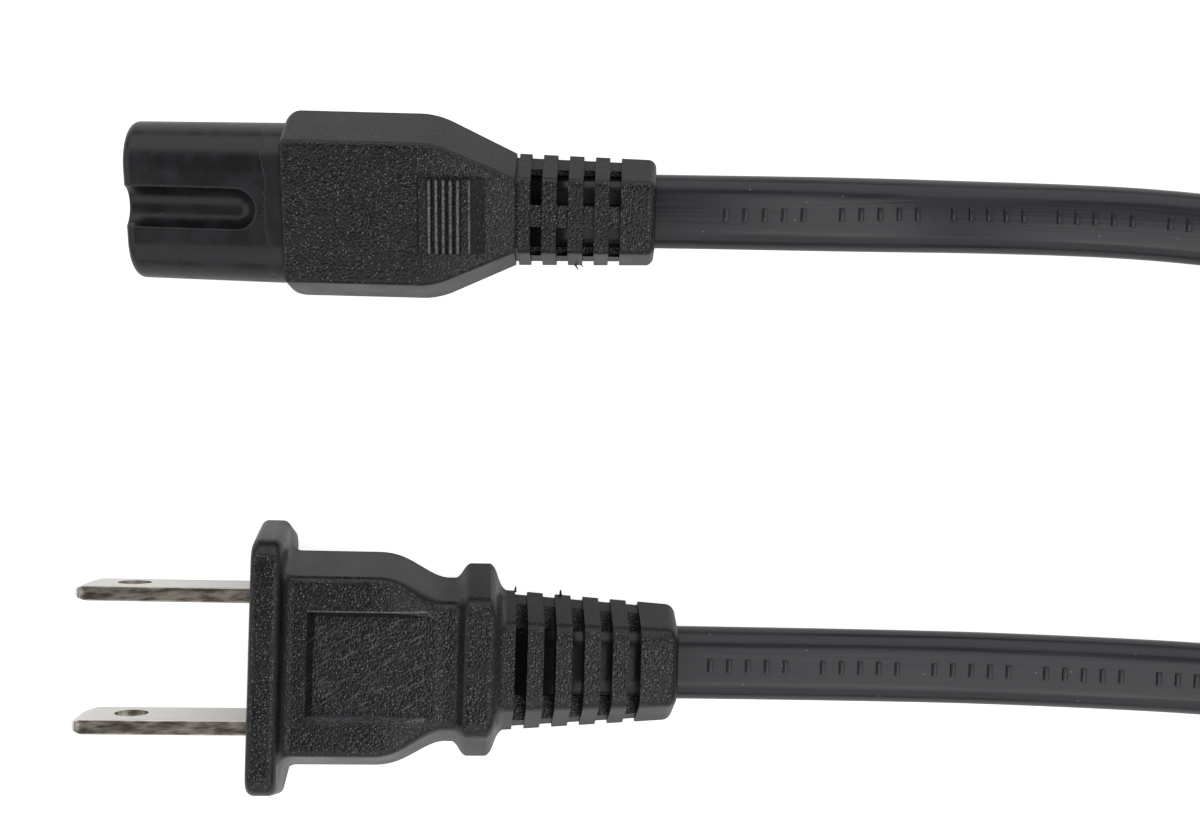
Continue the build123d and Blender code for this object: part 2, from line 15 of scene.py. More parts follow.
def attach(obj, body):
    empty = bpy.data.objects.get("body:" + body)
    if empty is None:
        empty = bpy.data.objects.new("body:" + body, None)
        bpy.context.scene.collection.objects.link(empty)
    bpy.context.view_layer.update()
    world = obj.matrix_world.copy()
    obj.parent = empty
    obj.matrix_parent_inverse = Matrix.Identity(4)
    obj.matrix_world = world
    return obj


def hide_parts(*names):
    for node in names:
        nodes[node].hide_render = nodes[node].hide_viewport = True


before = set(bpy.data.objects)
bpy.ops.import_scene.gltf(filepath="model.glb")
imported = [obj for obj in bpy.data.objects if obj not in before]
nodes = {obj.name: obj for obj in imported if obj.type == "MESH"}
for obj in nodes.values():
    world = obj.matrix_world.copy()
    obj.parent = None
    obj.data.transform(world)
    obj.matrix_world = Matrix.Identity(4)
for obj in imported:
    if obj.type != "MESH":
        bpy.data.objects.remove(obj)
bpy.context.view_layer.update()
MM = 0.001
print("CAD nodes:", sorted(nodes))

# %% [markdown]
# ## The camera
# The photograph was taken from straight above and quite close, so the outer sides of the two ends
# show as well as their tops. A camera could also stand far off with a long lens, but then only the
# tops would show. At 152 mm over the table, a lens of 44 mm gives the photograph's lean. Blender's
# camera looks straight down when it isn't turned.

# %% Camera
CAMERA_PLACE = (21.65, 3.35, 152.0)
LENS = 44.19
SENSOR = 36.0

camera = bpy.data.objects.new("camera", bpy.data.cameras.new("camera"))
camera.location = [value * MM for value in CAMERA_PLACE]
camera.data.lens = LENS
camera.data.sensor_width = SENSOR
camera.data.clip_start = 0.01
bpy.context.scene.collection.objects.link(camera)
bpy.context.scene.camera = camera
print("camera height in millimetres:", CAMERA_PLACE[2], "lens:", LENS)

# %% [markdown]
# ## How the two ends lie
# The connector rests on one of its lower facets, so it is rolled by 17 degrees. The plug's flange is
# its tallest part, so the plug tips back on to its strain relief by 5.4 degrees. Several steps below
# need to know which way the top of each end faces, and where its middle plane is. Two small functions
# take a place along an end's own axis to its place on the table, so that each mark can be given where
# a maker would measure it.

# %% Placement of the two ends
CONNECTOR_EXIT = Vector((27.05, 23.65, 6.88)) * MM
CONNECTOR_YAW = math.radians(-1.5)
CONNECTOR_ROLL = math.radians(17.0)
PLUG_EXIT = Vector((29.03, -21.0, 4.07)) * MM
PLUG_YAW = math.radians(-1.6)
PLUG_PITCH = math.radians(5.4)

connector_turn = Matrix.Rotation(CONNECTOR_YAW, 3, "Z") @ Matrix.Rotation(CONNECTOR_ROLL, 3, "X")
plug_turn = Matrix.Rotation(PLUG_YAW, 3, "Z") @ Matrix.Rotation(PLUG_PITCH, 3, "Y")
connector_top = connector_turn @ Vector((0, 0, 1))
plug_top = plug_turn @ Vector((0, 0, 1))


def on_connector(x, y, z):
    """A point given along the connector's own axis in millimetres, in its place on the table."""
    return CONNECTOR_EXIT + connector_turn @ (Vector((x, y, z)) * MM)


def on_plug(x, y, z):
    """A point given along the plug's own axis in millimetres, in its place on the table."""
    return PLUG_EXIT + plug_turn @ (Vector((x, y, z)) * MM)


print("tops:", [round(v, 3) for v in connector_top], [round(v, 3) for v in plug_top])

# %% [markdown]
# ## The route of the lead
# A flat lead bends easily across its flat side, and hardly at all across its edge. It leaves each
# end straight, sinks to the table under its own weight and runs off to the right. What the
# photograph doesn't show is wound in a flat coil just outside the picture. One NURBS curve of the
# third order gives the smooth line that a stiff, springy lead takes. Its control points are the
# points of the CAD model's route. The turns of the coil are more points of the same curve.

# %% Control points, in millimetres
LEAD_WIDTH = 7.3
LEAD_THICKNESS = 3.7
CONNECTOR_AXIS = 6.88
from_connector = [
    (12.855, 24.022, CONNECTOR_AXIS),
    (42.85, 23.6, CONNECTOR_AXIS),
    (64.85, 23.85, 1.86),
    (78.5, 23.25, 1.86),
    (91.0, 21.75, 1.86),
    (103.5, 23.8, 2.6),
    (115.0, 29.66, 3.7),
]
to_plug = [
    (119.8, -31.35, 5.6),
    (106.7, -26.55, 2.9),
    (97.0, -24.75, 1.95),
    (86.5, -23.25, 1.86),
    (71.5, -22.4, 1.86),
    (50.92, -21.61, 1.98),
    (11.515, -20.511, 5.73),
]

# %% [markdown]
# ## The turns of the coil
# The lead stands on its edge in the coil, because it bends that way. It enters at the outside of
# the lower layer, spirals in, steps up and spirals out again on top. A spiral is a simple formula, so
# a loop works out its points. A control polygon of twenty points a turn pulls the curve slightly
# inwards, so its radius is made a little larger.

# %% Coil points
COIL_CENTRE = Vector((157.4, 1.75))
OUTER_TURN = 43.96
TURN_PITCH = 3.9
TURNS_PER_LAYER = 3.315
LOWER_LAYER = 3.7
UPPER_LAYER = 11.15
ENTRY_ANGLE = math.radians(117.0)
POINTS_PER_TURN = 20
STEP_UP_TURNS = 0.5
AGAINST_PULL = 1.009


def coil_points():
    """In along a spiral on the lower layer, up, and out again on the upper one."""
    total = 2 * TURNS_PER_LAYER
    count = round(total * POINTS_PER_TURN)
    points = []
    for i in range(count + 1):
        turn = total * i / count
        from_middle = turn - TURNS_PER_LAYER
        radius = OUTER_TURN - TURN_PITCH * (TURNS_PER_LAYER - abs(from_middle))
        radius *= AGAINST_PULL
        angle = ENTRY_ANGLE - 2 * math.pi * turn
        share = min(max(from_middle / STEP_UP_TURNS + 0.5, 0.0), 1.0)
        share = share * share * (3 - 2 * share)
        height = LOWER_LAYER + (UPPER_LAYER - LOWER_LAYER) * share
        points.append((COIL_CENTRE.x + radius * math.cos(angle),
                       COIL_CENTRE.y + radius * math.sin(angle), height))
    return points


controls = from_connector + coil_points() + to_plug
print("control points of the lead:", len(controls))

# %% [markdown]
# ## From control points to a smooth line
# Blender evaluates the curve for us. The order and the end points are set after the points exist,
# because they fall back to straight runs when they are set before. The curve could also be given its
# thickness directly, as a bevelled curve, but then it could not turn its flat side where it should.
# So only its line is read, and the curve is removed again.

# %% Smooth centreline
STEPS_PER_POINT = 8


def smooth_line(points_mm):
    """The points of a NURBS curve of the third order that these control points shape."""
    curve = bpy.data.curves.new("lead route", "CURVE")
    curve.dimensions = "3D"
    curve.resolution_u = STEPS_PER_POINT
    spline = curve.splines.new("NURBS")
    spline.points.add(len(points_mm) - 1)
    for point, co in zip(spline.points, points_mm):
        point.co = (*(Vector(co) * MM), 1.0)
    spline.order_u = 3
    spline.use_endpoint_u = True
    holder = bpy.data.objects.new("lead route", curve)
    line_mesh = bpy.data.meshes.new_from_object(holder)
    line = [vertex.co.copy() for vertex in line_mesh.vertices]
    bpy.data.meshes.remove(line_mesh)
    bpy.data.objects.remove(holder)
    bpy.data.curves.remove(curve)
    return line


route = smooth_line(controls)
stations = [0.0]
for a, b in zip(route, route[1:]):
    stations.append(stations[-1] + (b - a).length)
lead_length = stations[-1]
print("lead length in metres:", round(lead_length, 4), "points:", len(route))

# %% [markdown]
# ## The flat lead
# Two insulated cores lie side by side in one jacket, so the section has two long round edges and
# two flat faces. The section is carried along the centreline. It leaves the connector turned by 17
# degrees, as the connector does, comes level on the table, and stands up on its edge before it
# enters the coil. Where it turns, it is lifted so that it never sinks into the table. The mesh gets
# a map in metres, along the lead and round it, for the fine lines that the drawing die leaves.

# %% Section and sweep
EDGE_SEGMENTS = 10
EDGE_REACH = 2.25
COMES_LEVEL = (30.0, 60.0)
FLAT_UNTIL = 64.0
STANDS_UP = (84.0, 115.0)


def flat_section():
    """Points round the section: two long round edges, joined by the flat faces."""
    radius = LEAD_THICKNESS / 2
    flat = LEAD_WIDTH / 2 - EDGE_REACH
    points = []
    for side in (1, -1):
        for k in range(EDGE_SEGMENTS + 1):
            angle = math.radians(-90 + 180 * k / EDGE_SEGMENTS)
            reach = flat + EDGE_REACH * math.cos(angle)
            points.append(Vector((side * reach, side * radius * math.sin(angle))))
    return points


def ease(value, low, high):
    """Goes smoothly from 0 to 1 while the value goes from low to high."""
    share = min(max((value - low) / (high - low), 0.0), 1.0)
    return share * share * (3 - 2 * share)


def roll_at(station, point):
    """Turn of the section about the centreline, in radians."""
    x = point.x / MM
    first_half = station < lead_length / 2
    if x < FLAT_UNTIL:
        return CONNECTOR_ROLL * (1 - ease(x, *COMES_LEVEL)) if first_half else 0.0
    return math.radians(90.0) * ease(x, *STANDS_UP)


def sweep_flat(name, line, section_mm):
    """Carries the section along the line and gives every face its place on the map."""
    mesh = bpy.data.meshes.new(name)
    bm = bmesh.new()
    uv_layer = bm.loops.layers.uv.new("along the lead")
    around = [0.0]
    for a, b in zip(section_mm, section_mm[1:] + section_mm[:1]):
        around.append(around[-1] + (b - a).length)
    rings = []
    for i, point in enumerate(line):
        tangent = (line[min(i + 1, len(line) - 1)] - line[max(i - 1, 0)]).normalized()
        side = tangent.cross(Vector((0, 0, 1))).normalized()
        up = side.cross(tangent).normalized()
        roll = roll_at(stations[i], point)
        across = side * math.cos(roll) - up * math.sin(roll)
        over = up * math.cos(roll) + side * math.sin(roll)
        offsets = [(across * q.x + over * q.y) * MM for q in section_mm]
        sink = point.z + min(offset.z for offset in offsets)
        lift = Vector((0, 0, max(0.0, -sink)))
        rings.append([bm.verts.new(point + offset + lift) for offset in offsets])
    count = len(section_mm)
    for i, (near, far) in enumerate(zip(rings, rings[1:])):
        for k in range(count):
            n = (k + 1) % count
            face = bm.faces.new((near[k], near[n], far[n], far[k]))
            face.smooth = True
            u0, u1 = stations[i], stations[i + 1]
            v0, v1 = around[k] * MM, around[k + 1] * MM
            for loop, uv in zip(face.loops, ((u0, v0), (u0, v1), (u1, v1), (u1, v0))):
                loop[uv_layer].uv = uv
    bm.faces.new(list(reversed(rings[0])))
    bm.faces.new(rings[-1])
    bmesh.ops.recalc_face_normals(bm, faces=bm.faces)
    bm.to_mesh(mesh)
    bm.free()
    piece = bpy.data.objects.new(name, mesh)
    bpy.context.scene.collection.objects.link(piece)
    return piece


flat_lead = sweep_flat("flat_lead", route, flat_section())
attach(flat_lead, "root")
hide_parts("lead_to_connector", "lead_to_plug", "cord_coil")
print("faces of the lead:", len(flat_lead.data.polygons))

# %% [markdown]
# ## Plain bars on the flat side
# A wheel presses low relief into the warm jacket, here plain bars in even groups, on the two runs in
# front of the coil. A bump in the finish could draw them, but it would vanish where the lead is seen
# from the side. So each bar is a slab with bevelled edges, half sunk into the flat side. Its place
# comes from the two rings of points of the lead on either side of it, so it follows every bend.

# %% Raised bars
BAR_PITCH = 1.9
BAR_WIDTH = 0.5
BAR_HEIGHT = 1.35
BAR_RELIEF = 0.2
BAR_EDGE = 0.07
BEVEL_SEGMENTS = 2
BARS_IN_GROUP = 5
GROUPS = 7
FIRST_GROUP = 21.0
GROUP_EVERY = 11.4
PER_RING = len(flat_section())


def add_piece(name, bm):
    """Turns a finished bmesh into a piece that belongs to the fixed body."""
    for face in bm.faces:
        face.smooth = True
    mesh = bpy.data.meshes.new(name)
    bm.to_mesh(mesh)
    bm.free()
    piece = bpy.data.objects.new(name, mesh)
    bpy.context.scene.collection.objects.link(piece)
    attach(piece, "root")
    return piece


def on_flat_side(station):
    """The place of a bar on the flat side, as a matrix that turns it to the lead."""
    ring = next(i for i, passed in enumerate(stations) if passed > station) - 1
    share = (station - stations[ring]) / (stations[ring + 1] - stations[ring])
    points = flat_lead.data.vertices
    left, right = [
        points[ring * PER_RING + k].co.lerp(points[(ring + 1) * PER_RING + k].co, share)
        for k in (EDGE_SEGMENTS, EDGE_SEGMENTS + 1)
    ]
    along = (route[ring + 1] - route[ring]).normalized()
    across = (left - right).normalized()
    turn = Matrix((along, across, along.cross(across) * -1)).transposed().to_4x4()
    return Matrix.Translation((left + right) / 2) @ turn


bm = bmesh.new()
for group in range(GROUPS):
    for bar in range(BARS_IN_GROUP):
        station = (FIRST_GROUP + group * GROUP_EVERY + bar * BAR_PITCH) * MM
        for place in (station, lead_length - station):
            size = Matrix.Diagonal((BAR_WIDTH * MM, BAR_HEIGHT * MM, 2 * BAR_RELIEF * MM, 1.0))
            bmesh.ops.create_cube(bm, size=1.0, matrix=on_flat_side(place) @ size)
bmesh.ops.bevel(bm, geom=bm.edges[:], offset=BAR_EDGE * MM, segments=BEVEL_SEGMENTS, profile=0.5,
                material=-1, affect="EDGES")
bmesh.ops.recalc_face_normals(bm, faces=bm.faces)
raised_bars = add_piece("raised_bars", bm)
print("bars:", 2 * GROUPS * BARS_IN_GROUP, "faces:", len(raised_bars.data.polygons))

# %% [markdown]
# ## A plain raised ring on the connector
# A plain bead stands on the connector's top face, as the rim of a blank insert leaves it in a mould. The
# editor has a ready-made torus, but half of it would be hidden in the face. Here a half-round
# section is spun once round the axis that stands on the top face. Its flat underside is sunk a little
# into the face, so no gap shows.

# %% Plain ring
RING_RADIUS = 1.75
RING_BEAD = 0.17
RING_PLACE = (-29.1, -0.45, 5.25)
RING_SINK = 0.01
BEAD_STEPS = 5
RING_STEPS = 48

ring_centre = on_connector(*RING_PLACE)
outwards = connector_turn @ Vector((1, 0, 0))
bm = bmesh.new()
profile = []
for k in range(BEAD_STEPS + 1):
    angle = math.radians(180 / BEAD_STEPS * k)
    reach = outwards * (RING_RADIUS + RING_BEAD * math.cos(angle)) * MM
    rise = connector_top * (RING_BEAD * math.sin(angle) - RING_SINK) * MM
    profile.append(bm.verts.new(ring_centre + reach + rise))
edges = [bm.edges.new(pair) for pair in zip(profile, profile[1:] + profile[:1])]
bmesh.ops.spin(bm, geom=edges, cent=ring_centre, axis=connector_top, angle=2 * math.pi,
               steps=RING_STEPS, use_merge=True)
bmesh.ops.recalc_face_normals(bm, faces=bm.faces)
plain_ring = add_piece("plain_ring", bm)
print("ring faces:", len(plain_ring.data.polygons))

# %% [markdown]
# ## Crumbs of flash
# Where the two halves of a mould meet, a little PVC creeps out. When it is trimmed, small crumbs
# stay behind on the parting line. They could be sculpted, but at this size a short blunt cone with a
# bent tip looks the same.

# %% Flash crumbs
CRUMB_SIDES = 7
TIP_SHARE = 0.35
TIP_BEND = Vector((0.18, 0.05, 0.06)) * MM


def crumbs(name, places):
    """One piece from several crumbs, each with a foot, a tip and the half-width of its foot."""
    bm = bmesh.new()
    for base, tip, width in places:
        along = tip - base
        turn = along.to_track_quat("Z", "Y").to_matrix().to_4x4()
        middle = Matrix.Translation((base + tip) / 2)
        foot = width * MM
        made = bmesh.ops.create_cone(bm, cap_ends=True, segments=CRUMB_SIDES, radius1=foot,
                                     radius2=TIP_SHARE * foot, depth=along.length, matrix=middle @ turn)
        crown = [vertex for vertex in made["verts"] if (vertex.co - tip).length < (vertex.co - base).length]
        for vertex in crown:
            vertex.co += TIP_BEND
    return add_piece(name, bm)


plug_crumbs = crumbs("plug_flash_crumbs", [
    (on_plug(-11.55, 6.15, 0.0), on_plug(-11.75, 7.0, 0.15), 0.22),
    (on_plug(-16.1, 6.75, 0.0), on_plug(-16.2, 7.3, 0.1), 0.16),
])
relief_crumbs = crumbs("connector_flash_crumbs", [
    (on_connector(-7.9, -5.1, 0.0), on_connector(-7.6, -5.85, 0.05), 0.14),
    (on_connector(-7.4, -5.1, 0.0), on_connector(-7.1, -5.6, 0.0), 0.1),
])
print("crumb faces:", len(plug_crumbs.data.polygons) + len(relief_crumbs.data.polygons))

# %% [markdown]
# ## Materials
# Every finish is a Principled shader with a few nodes in front of it. The same nodes could be placed
# by hand in the shader editor. Here one function adds any node with its settings and links, so each
# line says what one node does. Colours are written as they look on a screen, and a second function
# turns them into the linear values that a shader works with. Most patterns follow the object's own
# coordinates, in metres, so a pattern of 0.25 mm has a scale of 1 / 0.00025. A Map Range node with
# smooth ends turns a distance into a mask with a soft edge. Noise seldom leaves the range from 0.3 to
# 0.7, so that range is spread over the whole effect. The colour given to a new material is the plain
# one, which a pattern then replaces.

# %% Helpers for materials
SMOOTH = {"interpolation_type": "SMOOTHSTEP"}
NOISE_RANGE = (0.3, 0.7)


def hex_colour(text):
    """A colour as written on a screen, as the linear values of a shader."""
    channels = [int(text[i:i + 2], 16) / 255 for i in (1, 3, 5)]
    linear = [c / 12.92 if c <= 0.04045 else ((c + 0.055) / 1.055) ** 2.4 for c in channels]
    return (*linear, 1.0)


def new_material(name, colour, roughness):
    """A plain finish, with the shader that its patterns are linked to."""
    material = bpy.data.materials.new(name)
    material.use_nodes = True
    shader = material.node_tree.nodes["Principled BSDF"]
    shader.inputs["Base Color"].default_value = hex_colour(colour)
    shader.inputs["Roughness"].default_value = roughness
    return material, shader


def add_node(material, kind, inputs=(), output=0, **settings):
    """Adds a shader node and gives back one of its outputs, by name or number.

    Inputs are a list in the node's own order, or go by name or number. Each is a value or an output.
    """
    node = material.node_tree.nodes.new("ShaderNode" + kind)
    for key, value in settings.items():
        setattr(node, key, value)
    pairs = inputs.items() if isinstance(inputs, dict) else enumerate(inputs)
    for key, value in pairs:
        if isinstance(value, bpy.types.NodeSocket):
            material.node_tree.links.new(value, node.inputs[key])
        else:
            node.inputs[key].default_value = value
    return node.outputs[output]


def link(material, output, shader, name):
    """Links an output to one of the shader's inputs."""
    material.node_tree.links.new(output, shader.inputs[name])


def assign(material, *pieces):
    """Gives the pieces this material alone."""
    for piece in pieces:
        if not piece.data.materials:
            piece.data.materials.append(material)
        for slot in piece.material_slots:
            slot.material = material


print("a mid grey in linear values:", round(hex_colour("#808080")[0], 3))

# %% [markdown]
# ## Painted highlights on the grip ridges
# The crests of the connector's five grip ridges, and the end of the level pad that carries them, are
# painted lighter in dots: a painted highlight for the light that these edges catch. A painted picture
# could show this, but it would not follow the shape when a size changes. So the shader works out how
# far a place is from the nearest crest. Ping-Pong folds the length into equal steps, one for each ridge.

# %% Painted highlights on the ridges
FIRST_RIDGE = -21.6
RIDGES = 5
RIDGE_PITCH = 0.68
PAST_RIDGE = 0.2
CREST = (0.04 * MM, 0.14 * MM)
PAD_END = -17.8
PAD_EDGE = (0.03 * MM, 0.12 * MM)
PAD_HALF_WIDTH = 3.6
PAD_SIDE = 0.3
RIDGE_HIGHLIGHT_DOTS = 0.22
DOT_RANGE = (0.35, 0.6)


def ridge_highlights(material, offset):
    """Share of painted highlight along the five grip ridges and along the end of their level pad."""
    lengthways = tuple(connector_turn @ Vector((1, 0, 0)))
    crossways = tuple(connector_turn @ Vector((0, 1, 0)))
    along = add_node(material, "VectorMath", [offset, lengthways], "Value", operation="DOT_PRODUCT")
    across = add_node(material, "VectorMath", [offset, crossways], "Value", operation="DOT_PRODUCT")
    across = add_node(material, "Math", [across], operation="ABSOLUTE")
    half_run = (RIDGES - 1) * RIDGE_PITCH / 2 * MM
    from_first = add_node(material, "Math", [along, FIRST_RIDGE * MM], operation="SUBTRACT")
    from_middle = add_node(material, "Math", [from_first, half_run], operation="SUBTRACT")
    from_middle = add_node(material, "Math", [from_middle], operation="ABSOLUTE")
    in_run = add_node(material, "Math", [from_middle, half_run + PAST_RIDGE * MM], operation="LESS_THAN")
    nearest = add_node(material, "Math", [from_first, RIDGE_PITCH / 2 * MM], operation="PINGPONG")
    crest = add_node(material, "MapRange", [nearest, *CREST, 1.0, 0.0], **SMOOTH)
    crest = add_node(material, "Math", [crest, in_run], operation="MULTIPLY")
    from_end = add_node(material, "Math", [along, PAD_END * MM], operation="SUBTRACT")
    from_end = add_node(material, "Math", [from_end], operation="ABSOLUTE")
    end = add_node(material, "MapRange", [from_end, *PAD_EDGE, 1.0, 0.0], **SMOOTH)
    painted_light_and_scuffs = add_node(material, "Math", [crest, end], operation="MAXIMUM")
    side = ((PAD_HALF_WIDTH - PAD_SIDE) * MM, PAD_HALF_WIDTH * MM)
    on_pad = add_node(material, "MapRange", [across, *side, 1.0, 0.0], **SMOOTH)
    painted_light_and_scuffs = add_node(material, "Math", [painted_light_and_scuffs, on_pad], operation="MULTIPLY")
    dots = add_node(material, "TexNoise", {"Vector": offset, "Scale": 1000 / RIDGE_HIGHLIGHT_DOTS, "Detail": 1.0})
    dots = add_node(material, "MapRange", [dots, *DOT_RANGE, 0.25, 0.9], **SMOOTH)
    return add_node(material, "Math", [painted_light_and_scuffs, dots], operation="MULTIPLY")


print("worn ridges:", RIDGES)

# %% [markdown]
# ## Painted highlights and scuffs on the sunken panel
# The plug's sunken panel is painted lighter in dots along its far edge and its near wall: a painted
# highlight for the light these edges catch. Fine scuffs run slantwise over the floor. The scuffs are
# noise on coordinates that are turned and pressed together along one direction, which draws it out
# into strokes.

# %% Painted highlights and scuffs on the panel
PANEL_START = -35.25
PANEL_END = -24.6
PANEL_HALF_WIDTH = 4.7
PANEL_WALL = 0.58
FAR_EDGE_HIGHLIGHT = (0.03 * MM, 0.12 * MM)
NEAR_WALL_HIGHLIGHT = (0.1 * MM, 0.42 * MM)
EDGE_HIGHLIGHT_DOTS = 0.25
SCUFF = 0.5
SCUFF_SLANT = 1.7
SCUFF_STRETCH = 0.12
SCUFF_RANGE = (0.52, 0.7)
SCUFFED_FLOOR = (4.0 * MM, 4.6 * MM)


def scuffs_on_floor(material, along, across):
    """Share of wear in slanting strokes, on the level floor of the panel."""
    back = add_node(material, "Math", [along, -1.0], operation="MULTIPLY")
    slanting = add_node(material, "Math", [across, SCUFF_SLANT, back], operation="MULTIPLY_ADD")
    stroke = add_node(material, "Math", [along, SCUFF_SLANT, across], operation="MULTIPLY_ADD")
    stroke = add_node(material, "Math", [stroke, SCUFF_STRETCH], operation="MULTIPLY")
    turned = add_node(material, "CombineXYZ", [slanting, stroke])
    scuffs = add_node(material, "TexNoise", {"Vector": turned, "Scale": 1000 / SCUFF, "Detail": 2.0})
    scuffs = add_node(material, "MapRange", [scuffs, *SCUFF_RANGE, 0.0, 0.3], **SMOOTH)
    from_middle = add_node(material, "Math", [across], operation="ABSOLUTE")
    on_floor = add_node(material, "MapRange", [from_middle, *SCUFFED_FLOOR, 1.0, 0.0], **SMOOTH)
    return add_node(material, "Math", [scuffs, on_floor], operation="MULTIPLY")


def panel_highlights_and_scuffs(material, offset):
    """Share of painted highlight along the edges of the plug's sunken panel, and of scuffs on its floor."""
    lengthways = tuple(plug_turn @ Vector((1, 0, 0)))
    crossways = tuple(plug_turn @ Vector((0, 1, 0)))
    along = add_node(material, "VectorMath", [offset, lengthways], "Value", operation="DOT_PRODUCT")
    across = add_node(material, "VectorMath", [offset, crossways], "Value", operation="DOT_PRODUCT")
    wall_start = (PANEL_START - PANEL_WALL) * MM
    past_start = add_node(material, "Math", [along, wall_start], operation="GREATER_THAN")
    before_end = add_node(material, "Math", [along, PANEL_END * MM], operation="LESS_THAN")
    in_length = add_node(material, "Math", [past_start, before_end], operation="MULTIPLY")
    far_top = (PANEL_HALF_WIDTH + PANEL_WALL) * MM
    from_far = add_node(material, "Math", [across, far_top], operation="SUBTRACT")
    from_far = add_node(material, "Math", [from_far], operation="ABSOLUTE")
    far_edge_highlight = add_node(material, "MapRange", [from_far, *FAR_EDGE_HIGHLIGHT, 0.9, 0.0], **SMOOTH)
    wall_middle = (PANEL_HALF_WIDTH + PANEL_WALL / 2) * MM
    from_near = add_node(material, "Math", [across, wall_middle], operation="ADD")
    from_near = add_node(material, "Math", [from_near], operation="ABSOLUTE")
    near_wall_highlight = add_node(material, "MapRange", [from_near, *NEAR_WALL_HIGHLIGHT, 0.45, 0.0], **SMOOTH)
    # The far edge and the near wall carry a painted highlight, in dots.
    edges = add_node(material, "Math", [far_edge_highlight, near_wall_highlight], operation="MAXIMUM")
    edges = add_node(material, "Math", [edges, in_length], operation="MULTIPLY")
    dots = add_node(material, "TexNoise", {"Vector": offset, "Scale": 1000 / EDGE_HIGHLIGHT_DOTS, "Detail": 1.0})
    dots = add_node(material, "MapRange", [dots, *DOT_RANGE, 0.35, 1.0], **SMOOTH)
    edges = add_node(material, "Math", [edges, dots], operation="MULTIPLY")
    scuffs = scuffs_on_floor(material, along, across)
    scuffs = add_node(material, "Math", [scuffs, in_length], operation="MULTIPLY")
    return add_node(material, "Math", [edges, scuffs], operation="MAXIMUM")


print("worn panel, millimetres long:", round(PANEL_END - PANEL_START, 2))

# %% [markdown]
# ## The grain of the mouldings
# The mould's flat faces are spark-eroded. That leaves pebbles of about a quarter of a millimetre on
# the flats of both ends and on the tops of the ribs. Some pebble tips get lighter specks, painted
# glints that stand in for the light these tips catch. The sloping sides are only polished, so they
# are nearly smooth. The grain could be painted on chosen faces. Instead it is masked by how much a
# face looks along the top direction of its own end, so that it follows the shape by itself. The
# limits of that mask are cosines of the angle to the top. Cells of a Voronoi pattern make the
# pebbles. Each cell of a second one draws a lot for how light its painted glint is, and a glint
# reaches over a share of its cell.

# %% Spark-eroded grain
PEBBLE = 0.22
RIPPLE = 0.42
SPECK = 0.24
GRAINED_FACES = (0.72, 0.93)
SPECK_REACH = (0.12, 0.4)
LIT_LOTS = (0.3, 1.0)


def grain_mask(material, top):
    """1 on faces that look along the top direction, a quarter on the sloping sides."""
    normal = add_node(material, "TexCoord", output="Normal")
    facing = add_node(material, "VectorMath", [normal, tuple(top)], "Value", operation="DOT_PRODUCT")
    facing = add_node(material, "Math", [facing], operation="ABSOLUTE")
    return add_node(material, "MapRange", [facing, *GRAINED_FACES, 0.25, 1.0], **SMOOTH)


def pebble_height(material, position):
    """Rounded pebbles on a slow ripple."""
    grain = {"Vector": position, "Scale": 1000 / PEBBLE, "Smoothness": 0.5}
    pebbles = add_node(material, "TexVoronoi", grain, "Distance", feature="SMOOTH_F1")
    pebbles = add_node(material, "Math", [pebbles, -1.0], operation="MULTIPLY")
    ripple = add_node(material, "TexNoise", {"Vector": position, "Scale": 1000 / RIPPLE, "Detail": 1.0})
    return add_node(material, "Math", [ripple, 0.5, pebbles], operation="MULTIPLY_ADD")


def painted_glints(material, position):
    """Share of painted glint: a lighter speck on the tips of some of the pebbles."""
    speck = add_node(material, "TexVoronoi", {"Vector": position, "Scale": 1000 / SPECK}, "Distance")
    lit = add_node(material, "MapRange", [speck, *SPECK_REACH, 1.0, 0.0], **SMOOTH)
    drawn_lot = add_node(material, "SeparateColor", [speck.node.outputs["Color"]])
    chance = add_node(material, "MapRange", [drawn_lot, *LIT_LOTS], **SMOOTH)
    return add_node(material, "Math", [lit, chance], operation="MULTIPLY")


print("pebbles across one centimetre:", round(10 / PEBBLE))

# %% [markdown]
# ## Moulded PVC
# Both ends are soft black PVC from the same kind of mould, so one function makes both finishes. Soft
# PVC is satin, with faint clouds in its colour. On the grain the roughness is set a little lower,
# because the pebbles scatter the light by themselves. Painted glints on the pebbles, and the painted
# highlights that each end's own function gives, with the plug's scuffs, lighten the colour. A fine
# line runs round each end where the two halves of the mould meet. It is only relief and a lighter
# colour here, a painted highlight along the line, because it is too low to show in the outline. The
# plug is a shade lighter than the connector.

# %% Moulded PVC
GRAIN_DEPTH = 0.06
SEAM = (0.04 * MM, 0.16 * MM)
CLOUD = 4.0
# Colour of the painted glints and painted highlights, and of the plug's scuffs.
HIGHLIGHT_AND_SCUFF_COLOUR = hex_colour("#8a8c92")
HIGHLIGHT_AND_SCUFF_SHARE = 0.85
# The seam's lighter colour is a painted highlight along the line.
SEAM_HIGHLIGHT_COLOUR = hex_colour("#4a4b4e")
SEAM_HIGHLIGHT_SHARE = 0.45
PVC_ROUGHNESS = (0.28, 0.38)
LOWER_ON_GRAIN = -0.06


